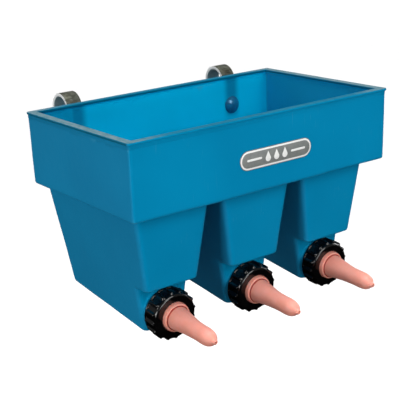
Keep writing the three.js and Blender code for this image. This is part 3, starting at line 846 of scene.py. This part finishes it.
# ---- badge ----
def stadium(half_length, half_height, steps=24):
    """The outline of a rectangle with round ends."""
    straight = half_length - half_height
    right = arc((straight, 0), half_height, -90, 90, steps)
    return np.array(right + arc((-straight, 0), half_height, 90, 270, steps))


def drop_outline(centre_x, size):
    """A plain drop: a round bottom under a pointed top."""
    bottom = arc((centre_x, -0.22 * size), 0.42 * size, 155, 385, 28)
    return np.array(bottom + [(centre_x, 0.72 * size)])


def badge():
    """A plain stadium badge: dark outline, white border, grey ground, three drops between two bars."""
    face = Vector((BADGE_X, REAR_Y - RIM_DEPTH + LIP + FRONT_LEAN * BADGE_DEPTH, RIM_Z - BADGE_DEPTH)) * MM
    place = Matrix.Translation(face) @ Matrix.Rotation(math.pi / 2 + math.atan(FRONT_LEAN), 4, "X")
    half_length, half_height = BADGE_LENGTH / 2, BADGE_HEIGHT / 2
    layers = [
        ("badge_edge", stadium(half_length, half_height), -0.6, 0.50),
        ("badge_white", stadium(half_length - 0.9, half_height - 0.9), 0.1, 0.75),
        ("badge_grey", stadium(half_length - 3.4, half_height - 3.4), 0.2, 0.92),
    ]
    marks = [drop_outline(x, 11.0) for x in (-15.0, 0.0, 15.0)]
    marks += [stadium(13.0, 1.6, 8) + np.array([x, 0.0]) for x in (-39.0, 39.0)]
    layers += [("badge_white", mark, 0.3, 1.12) for mark in marks]
    inks = ["badge_edge", "badge_white", "badge_grey"]
    parts = []
    for ink, outline, low, high in layers:
        part = dress(bevel(prism("badge_layer", outline, low, high), 0.12, 60), *inks)
        part.data.polygons.foreach_set("material_index", [inks.index(ink)] * len(part.data.polygons))
        parts.append(part)
    label = merged("front_badge_label", parts)
    label.data.transform(place)
    finish_piece(shade(label, 40.0), "trough", "front_badge")


def merged(name, parts):
    """One object from several, each keeping its own closed skin and materials."""
    work = bmesh.new()
    for part in parts:
        work.from_mesh(part.data)
    mesh = bpy.data.meshes.new(name)
    work.to_mesh(mesh)
    work.free()
    for material in parts[0].data.materials:
        mesh.materials.append(material)
    for part in parts:
        bpy.data.objects.remove(part)
    return linked(name, mesh)


# ---- port, valve and teat ----
def rounded_profile(points, radius, steps=4):
    """Rounds a closed section's corners, given as (radius, along) in mm, by one radius or a list."""
    result = []
    count = len(points)
    radii = radius if isinstance(radius, list) else [radius] * count
    for k in range(count):
        before, here, after = (Vector(points[(k + d) % count]) for d in (-1, 0, 1))
        back, ahead = before - here, after - here
        r = min(radii[k], 0.45 * back.length, 0.45 * ahead.length)
        start, end = here + back.normalized() * r, here + ahead.normalized() * r
        for t in np.linspace(0, 1, steps + 1):
            result.append(tuple(start * (1 - t) ** 2 + here * 2 * t * (1 - t) + end * t**2))
    return result


def densified(profile, longest):
    """Adds points so that no step of the closed section is longer than so many mm."""
    result = []
    for a, b in zip(profile, profile[1:] + profile[:1]):
        a, b = np.array(a, float), np.array(b, float)
        pieces = max(1, math.ceil(np.linalg.norm(b - a) / longest))
        result += [tuple(a + (b - a) * k / pieces) for k in range(pieces)]
    return result


def flange_edge(radius, low, high, edge):
    """The outer corners of a turned flange, with small chamfers."""
    return [(radius - edge, low), (radius, low + edge), (radius, high - edge), (radius - edge, high)]


def valve_body(side, place):
    """The valve's housing: a notched flange inside the wall and a barrel out through the port."""
    face = -WALL - GASKET_THICKNESS - 2 * GAP
    rear = face - FLANGE_THICKNESS
    corners = [
        (INLET_RADIUS, rear), (INLET_RADIUS + 3, rear), (INLET_RADIUS + 3, rear + 0.8),
        (FLANGE_RADIUS - 3, rear + 0.8), (FLANGE_RADIUS - 3, rear), (FLANGE_RADIUS, rear),
        (FLANGE_RADIUS, face), (BARREL_RADIUS, face), (BARREL_RADIUS, BARREL_END),
        (BARREL_BORE, BARREL_END), (BARREL_BORE, rear + INLET_LENGTH), (INLET_RADIUS, rear + INLET_LENGTH),
    ]
    profile = densified(rounded_profile(corners, 0.5), 3.0)

    def grips(index, radius, along, angles):
        if radius < FLANGE_RADIUS - 1 or along > face + 0.1:
            return radius
        return radius - 1.7 * np.clip((np.cos(6 * angles) - 0.72) / 0.2, 0.0, 1.0)

    made = turned(f"valve_fitting_{side}", profile, 120, place, grips)
    dress(shade(made), "valve")
    finish_piece(made, "trough", f"valve_body_{side}")


def gasket(side, place):
    """The rubber ring between the valve's flange and the wall."""
    face = -WALL - GAP / 2
    back = face - GASKET_THICKNESS - GAP
    inner, outer = BARREL_RADIUS + 0.15, FLANGE_RADIUS - 0.6
    corners = [(inner, back), (outer, back), (outer, face), (inner, face)]
    made = turned(f"flange_seal_{side}", rounded_profile(corners, 0.7), 72, place)
    dress(shade(made), "gasket")
    finish_piece(made, "trough", f"inner_gasket_{side}")


def ball_centre():
    """How far along the port's axis the ball's centre lies when it rests on its seat, mm."""
    seat = -WALL - GASKET_THICKNESS - 2 * GAP - FLANGE_THICKNESS + INLET_LENGTH
    return seat + math.sqrt(BALL_RADIUS**2 - INLET_RADIUS**2) + GAP


def valve_ball(side, place):
    """The ball, with the faint ridge of its mould's parting line."""
    centre = ball_centre()
    profile = []
    for angle in np.linspace(-math.pi / 2, math.pi / 2, 33):
        radius = BALL_RADIUS - 0.05 + 0.05 * math.exp(-((angle / 0.03) ** 2))
        profile.append((max(radius * math.cos(angle), 0.0), centre + radius * math.sin(angle)))
    made = turned(f"float_ball_{side}", profile, 64, place)
    dress(shade(made), "ball")
    finish_piece(made, f"ball_{side}", f"valve_ball_{side}")


def ball_retainer(side, place):
    """The ring with two crossed bars that keeps the ball in the barrel."""
    start = ball_centre() + BALL_RADIUS + BALL_LIFT + 2 * GAP
    end = start + RETAINER_HEIGHT
    outer = BARREL_BORE - GAP / 2
    corners = [(outer - 2, start), (outer, start), (outer, end), (outer - 2, end)]
    ring = turned(f"ball_cage_{side}", rounded_profile(corners, 0.4), 72, place)
    section = rounded_rectangle(1 - outer, outer - 1, -1.2, 1.2, 0.5, 3)
    bars = [prism("cage_bar", section, start + 1, end - 1) for _ in range(2)]
    for bar, turn in zip(bars, (0, math.pi / 2)):
        bar.data.transform(place @ Matrix.Rotation(turn, 4, "Z"))
    boolean(ring, bars, "UNION")
    dress(shade(ring), "valve")
    finish_piece(ring, "trough", f"ball_retainer_{side}")


def teat_seat(side, place):
    """The seat on the barrel that the teat's flange rests on, with the ring nut's thread outside."""
    start, socket = PAD_HEIGHT + GAP / 2, BARREL_RADIUS + 0.2
    web = BARREL_END + GAP / 2
    corners = [
        (socket, start), (SEAT_RADIUS, start), (SEAT_RADIUS, SEAT_END), (BARREL_BORE, SEAT_END),
        (BARREL_BORE, web), (socket, web),
    ]
    profile = densified(rounded_profile(corners, [0.3, 0.3, 1.0, 0.3, 0.3, 0.3]), 0.45)
    drop = thread(1.15, start + 1.5, SEAT_END - 0.8)

    def threaded(index, radius, along, angles):
        if radius < SEAT_RADIUS - 0.05:
            return radius
        return radius - drop(along, angles)

    made = turned(f"threaded_seat_{side}", profile, 144, place, threaded)
    dress(shade(made, 60), "nylon")
    finish_piece(made, "trough", f"teat_seat_{side}")


# The teat's outer radius at each distance from the collar's front, mm.
TEAT_OUTLINE = [
    (1.2, 17.3), (9, 16.3), (22, 14.5), (38, 12.8), (52, 12.2), (62, 12.3), (69, 12.0),
    (75, 10.8), (79, 8.9), (82, 6.4), (84, 4.7), (86.3, 3.9), (TEAT_LENGTH, 2.4),
]
# The groove between the collar's face and the teat, mm.
GROOVE_INNER, GROOVE_OUTER, GROOVE_DEPTH = 17.3, 18.3, 2.6


def teat(side, place):
    """The rubber teat: a flange under the nut, a rounded collar, a groove and the hollow teat itself."""
    base = SEAT_END + GAP
    flange = base + TEAT_FLANGE_THICKNESS
    tip = COLLAR_END + TEAT_LENGTH
    groove_floor = COLLAR_END - GROOVE_DEPTH
    profile = [(BARREL_BORE, base)] + flange_edge(TEAT_FLANGE_RADIUS, base, flange, 0.6)
    profile += [(COLLAR_RADIUS + 0.8, flange), (COLLAR_RADIUS, flange + 0.8)]
    profile += [(COLLAR_RADIUS, COLLAR_END - COLLAR_EDGE)]
    profile += arc((COLLAR_RADIUS - COLLAR_EDGE, COLLAR_END - COLLAR_EDGE), COLLAR_EDGE, 0, 90, 7)
    profile += [
        (GROOVE_OUTER + 0.3, COLLAR_END), (GROOVE_OUTER, COLLAR_END - 0.4),
        (GROOVE_OUTER, groove_floor), (GROOVE_INNER, groove_floor),
    ]
    outline = smooth_line([(along + COLLAR_END, radius) for along, radius in TEAT_OUTLINE], 5)
    profile += [(radius, along) for along, radius in outline]
    outside = len(profile) - 1
    profile += [(1.3, tip - 0.1), (1.1, tip - 0.5), (1.1, tip - 6), (7.0, tip - 20), (8.5, tip - 34)]

    def seams(index, radius, along, angles):
        if along <= COLLAR_END + 0.5 or index >= outside:
            return radius
        ridge = np.exp(-((np.sin(angles) * radius / 0.45) ** 2))
        soft = 0.10 * np.sin(3 * angles + along / 9.0) + 0.07 * np.sin(5 * angles - along / 6.0)
        return radius + 0.16 * ridge + soft * min(1.0, radius / 12.0) - 0.1

    made = turned(f"teat_rubber_{side}", profile, 128, place, seams)
    dress(shade(made, 60), "teat", "teat_groove_shade")
    # painted shade: the faces in the groove take the darker red
    back = place.inverted()
    for face in made.data.polygons:
        spot = back @ face.center / MM
        low = groove_floor - 0.1 < spot.z < COLLAR_END - 0.2
        in_groove = GROOVE_INNER - 0.2 < math.hypot(spot.x, spot.y) < GROOVE_OUTER + 0.2
        face.material_index = int(low and in_groove)
    finish_piece(made, f"teat_{side}", f"teat_{side}")


def ring_nut(side, place):
    """The ring nut: rear flange, rounded shoulder, sixteen rounded grip lugs and an inside thread."""
    start = PAD_HEIGHT + 2 * GAP
    flange = start + NUT_FLANGE_THICKNESS
    lip = SEAT_END + TEAT_FLANGE_THICKNESS + 2 * GAP
    bore = SEAT_RADIUS + 1.3
    shoulder = arc((NUT_RADIUS - NUT_SHOULDER, NUT_END - NUT_SHOULDER), NUT_SHOULDER, 0, 90, 8)
    outside = [(bore, start)] + flange_edge(NUT_FLANGE_RADIUS, start, flange, 0.5)
    outside += [(NUT_RADIUS + 0.5, flange), (NUT_RADIUS, flange + 0.5)]
    face = [(NUT_LIP_BORE + 0.6, NUT_END), (NUT_LIP_BORE, NUT_END - 0.6), (NUT_LIP_BORE, lip), (bore, lip)]
    profile = densified(outside + shoulder + face, 0.9)
    thread_depth = 1.05
    drop = thread(thread_depth, start + 0.6, lip - 0.6)
    lug_angles = (np.arange(LUG_COUNT) + LUG_START) * 2 * math.pi / LUG_COUNT
    lug_centre = NUT_RADIUS + LUG_RADIUS / 4
    lug_end = NUT_END - NUT_SHOULDER

    def shaped(index, radius, along, angles):
        if radius > NUT_RADIUS - 1.6 and flange - 0.2 < along < NUT_END - 1.0:
            nearest = (angles[:, None] - lug_angles[None, :] + math.pi) % (2 * math.pi) - math.pi
            off = np.abs(nearest).min(1)
            end_fade = math.sqrt(max(0.0, 1 - (max(0.0, along - lug_end + 1.5) / 2.6) ** 2))
            height = LUG_RADIUS * end_fade
            inside = np.clip(height**2 - (lug_centre * np.sin(off)) ** 2, 0.0, None)
            lug = lug_centre * np.cos(off) + np.sqrt(inside)
            ridge = np.where(inside > 0, lug, radius)
            fillet = 0.7 * np.exp(-(((off * lug_centre - LUG_RADIUS) / 0.8) ** 2)) * end_fade
            return np.maximum(radius, ridge) + np.where(inside > 0, 0.0, fillet)
        if abs(radius - bore) < 0.05 and start + 0.2 < along < lip - 0.2:
            return radius - thread_depth + drop(along, angles)
        return radius

    made = turned(f"grip_nut_{side}", profile, 14 * LUG_COUNT, place, shaped)
    dress(shade(made, 50), "nylon")
    finish_piece(made, f"nut_{side}", f"ring_nut_{side}")


# ---- rail hooks and their fixings ----
def bolt_place(side):
    """The bolt's frame: Z runs from the trough's rear face towards the rail."""
    return frame_at((side * HOOK_PITCH / 2 * MM, REAR_Y * MM, BOLT_Z * MM), (0, 1, 0))


def hook_bar(label, side):
    """Flat bar bent over the rail: the bolted leg, the arch and the short free leg."""
    middle = HOOK_INNER_RADIUS + HOOK_THICKNESS / 2
    centre_z = -HOOK_INNER_RADIUS
    path = [(-middle, z, 180.0) for z in np.linspace(HOOK_FOOT_Z, centre_z, 24, endpoint=False)]
    angles = np.linspace(180, 0, 41)
    path += [(y, z, angle) for (y, z), angle in zip(arc((0, centre_z), middle, 180, 0, 40), angles)]
    path += [(middle, z, 0.0) for z in np.linspace(centre_z, centre_z - HOOK_TAIL, 5)[1:]]
    half_thickness, half_width = HOOK_THICKNESS / 2, HOOK_WIDTH / 2
    section = rounded_rectangle(-half_thickness, half_thickness, -half_width, half_width, 0.7, 4)
    out, across = section[:, 0], section[:, 1] + side * HOOK_PITCH / 2
    rings = []
    for y, z, angle in path:
        a = math.radians(angle)
        rings.append(np.column_stack([across, y + out * math.cos(a), z + out * math.sin(a)]))
    bar = make_object(f"rail_hook_{label}", *loft(rings))
    weld(bar)
    hole = cylinder("hook_hole", BOLT_RADIUS + 0.5, -2 * WALL, 4 * HOOK_THICKNESS, bolt_place(side), 48)
    bevel(boolean(bar, [hole], "DIFFERENCE"), 0.45, 50)
    dress(shade(bar, 40), "galvanised")
    finish_piece(bar, "trough", f"hook_{label}")


def hook_bolt(label, side):
    """A cup-head bolt with a square neck in the wall and a threaded shank through the hook."""
    seat = -WALL - GAP / 2
    sphere = (BOLT_HEAD_RADIUS**2 + BOLT_HEAD_HEIGHT**2) / (2 * BOLT_HEAD_HEIGHT)
    reach = math.degrees(math.asin(BOLT_HEAD_RADIUS / sphere))
    profile = arc((0, seat - BOLT_HEAD_HEIGHT + sphere), sphere, -90, reach - 90, 24)
    profile[-1] = (BOLT_HEAD_RADIUS - 0.1, seat - 0.25)
    profile.append((BOLT_HEAD_RADIUS - 0.5, seat))
    end = HOOK_THICKNESS + WASHER_THICKNESS + HEX_NUT_THICKNESS + 3 * GAP + BOLT_TAIL
    shank = [(BOLT_RADIUS, seat), (BOLT_RADIUS, 0.5)]
    shank += [(BOLT_RADIUS, along) for along in np.arange(1.0, end - 0.7, 0.22)]
    shank += [(BOLT_RADIUS - 0.9, end), (0, end)]

    def threaded(index, radius, along, angles):
        if along < 1.0 or abs(radius - BOLT_RADIUS) > 0.01:
            return radius
        phase = (along / BOLT_PITCH - angles / (2 * math.pi)) % 1.0
        return radius - 0.9 * np.abs(phase - 0.5) * 2

    made = turned(f"cup_bolt_{label}", profile + shank, 72, bolt_place(side), threaded)
    boolean(made, [square_neck("bolt_neck", BOLT_RADIUS, seat - 1.0, -GAP, side)], "UNION")
    dress(shade(made, 40), "passivated_painted_reflection")
    finish_piece(made, "trough", f"hook_bolt_{label}")


def hook_washer(label, side):
    """The washer between the hook's leg and the nut."""
    start = HOOK_THICKNESS + GAP + 0.1
    end = start + WASHER_THICKNESS + 0.3
    hole = BOLT_RADIUS + 0.2
    corners = [(hole, start), (WASHER_RADIUS, start), (WASHER_RADIUS, end), (hole, end)]
    profile = rounded_profile(corners, [0.2, 0.3, 0.8, 0.2])
    made = turned(f"flat_washer_{label}", profile, 72, bolt_place(side))
    dress(shade(made), "zinc")
    finish_piece(made, "trough", f"hook_washer_{label}")


def hook_nut(label, side):
    """A hexagon nut whose corners are turned off by a cone at both faces."""
    start = HOOK_THICKNESS + WASHER_THICKNESS + 3 * GAP - 0.1
    end = start + HEX_NUT_THICKNESS
    flat = NUT_ACROSS_FLATS / 2
    corner = flat / math.cos(math.pi / 6)
    bore = BOLT_RADIUS + 0.15
    profile = densified([
        (bore, start + 0.3), (bore + 0.5, start), (corner - 1.1, start), (corner, start + 0.65),
        (corner, end - 0.65), (corner - 1.1, end), (bore + 0.5, end), (bore, end - 0.3),
    ], 0.8)

    def hexagon(index, radius, along, angles):
        if radius < bore + 1.0:
            return radius
        sector = (angles + math.pi / 6) % (math.pi / 3) - math.pi / 6
        return np.minimum(radius, flat / np.cos(sector))

    made = turned(f"hexagon_nut_{label}", profile, 144, bolt_place(side), hexagon)
    dress(shade(made, 25), "zinc")
    finish_piece(made, "trough", f"hook_nut_{label}")


# ---- studio ----
FLOOR_BELOW = 1.2  # the trough hangs this far above the floor, metres
FLOOR_HALF, WALL_RADIUS, WALL_HEIGHT, WALL_STEPS = 40.0, 12.0, 12.0, 64
CARD_HALF, CARD_ABOVE_FLOOR = 8.0, 0.1
WORLD_STRENGTH = 0.2
CAMERA_AT = Vector((-0.8431, -1.3334, 0.2853))
CAMERA_AZIMUTH, CAMERA_ELEVATION, CAMERA_ROLL = -35.0, 17.2, -3.1
CAMERA_LENS, SENSOR_WIDTH = 89.94, 36.0
LIGHTS_AIM = Vector((0.0, -0.16, -0.12))
# name, place, width and height, watts
AREA_LIGHTS = [
    ("key", (0.1, -1.95, 1.0), (1.2, 1.0), 20.0),
    ("low key", (-0.1, -2.1, -0.05), (1.0, 0.4), 10.0),
    ("left fill", (-2.1, -0.6, -0.02), (1.0, 0.8), 20.5),
    ("right fill", (2.2, -0.1, 0.6), (1.0, 1.0), 14.0),
    ("back fill", (-0.3, 2.2, 1.1), (1.2, 1.0), 22.0),
]
SUN_STRENGTH, SUN_ANGLE = 3.0, math.radians(30.0)


def camera():
    """The photograph's view."""
    data = bpy.data.cameras.new("camera")
    data.lens = CAMERA_LENS
    data.sensor_width = SENSOR_WIDTH
    made = linked("camera", data)
    a, e = math.radians(CAMERA_AZIMUTH), math.radians(CAMERA_ELEVATION)
    back = Vector((math.sin(a) * math.cos(e), -math.cos(a) * math.cos(e), math.sin(e)))
    roll = Matrix.Rotation(math.radians(CAMERA_ROLL), 3, "Z").to_quaternion()
    made.rotation_mode = "QUATERNION"
    made.rotation_quaternion = back.to_track_quat("Z", "Y") @ roll
    made.location = CAMERA_AT
    bpy.context.scene.camera = made


def light(name, kind, power, location, aim):
    """A light of a kind, in watts or a sun's strength, which shines from one place to another."""
    data = bpy.data.lights.new(name, kind)
    data.energy = power
    made = linked(name, data)
    made.location = location
    made.rotation_mode = "QUATERNION"
    made.rotation_quaternion = (Vector(aim) - Vector(location)).to_track_quat("-Z", "Y")
    return data


def level_square(name, half, height):
    """A level square round the origin, in metres."""
    corners = [(-half, -half), (half, -half), (half, half), (-half, half)]
    return make_object(name, [(x / MM, y / MM, height / MM) for x, y in corners], [(0, 1, 2, 3)])


def stage_piece(target, material, *unseen_by):
    """Gives a piece of the studio its material, and lets some kinds of rays pass through it."""
    target.data.materials.append(material)
    for ray in unseen_by:
        setattr(target, f"visible_{ray}", False)


def backdrop(low):
    """A pale ring wall far behind everything, for views that look past the floor's edge."""
    ring = np.array(arc((0, 0), WALL_RADIUS / MM, 0, 360, WALL_STEPS)[:-1])
    rings = [at_height(ring, height / MM) for height in (low, WALL_HEIGHT)]
    wall = make_object("backdrop", np.concatenate(rings), grid_faces(2, WALL_STEPS))
    paint = Paint("studio backdrop")
    paint.set(Emission_Color=(1.0, 1.0, 1.0), Emission_Strength=1.0)
    stage_piece(wall, paint.material, "diffuse", "glossy", "shadow")


def black_card(low):
    """A studio's black card, seen only in reflections: it keeps the nuts' gloss black from below."""
    card = level_square("black_card", CARD_HALF, low + CARD_ABOVE_FLOOR)
    paint = Paint("black card")
    paint.set(Base_Color=(0.0, 0.0, 0.0), Specular_IOR_Level=0.0)
    stage_piece(card, paint.material, "camera", "diffuse", "shadow")


def studio():
    """The floor, the backdrop, the card, the pale surroundings and the lights."""
    low = CAD_BOX[0][2] - FLOOR_BELOW
    # the floor stays white without throwing light back up
    stage_piece(level_square("floor", FLOOR_HALF, low), floor_paper(), "diffuse", "glossy")
    backdrop(low)
    black_card(low)
    world = bpy.data.worlds.new("studio")
    world.use_nodes = True
    background = next(n for n in world.node_tree.nodes if n.type == "BACKGROUND")
    background.inputs["Color"].default_value = (1.0, 1.0, 1.0, 1.0)
    background.inputs["Strength"].default_value = WORLD_STRENGTH
    bpy.context.scene.world = world
    for name, place, size, power in AREA_LIGHTS:
        data = light(name, "AREA", power, place, LIGHTS_AIM)
        data.shape = "RECTANGLE"
        data.size, data.size_y = size
    light("overhead", "SUN", SUN_STRENGTH, (0, 0, 0), (0, 0, -1)).angle = SUN_ANGLE
    bpy.context.scene.view_settings.view_transform = "Standard"


# ---- everything ----
trough_shell()
badge()
for station in SIDES:
    port = port_place(station)
    valve_body(station, port)
    gasket(station, port)
    valve_ball(station, port)
    ball_retainer(station, port)
    teat_seat(station, port)
    teat(station, port)
    ring_nut(station, port)
for hook_label, hook_side in HOOK_SIDES.items():
    hook_bar(hook_label, hook_side)
    hook_bolt(hook_label, hook_side)
    hook_washer(hook_label, hook_side)
    hook_nut(hook_label, hook_side)
studio()
camera()
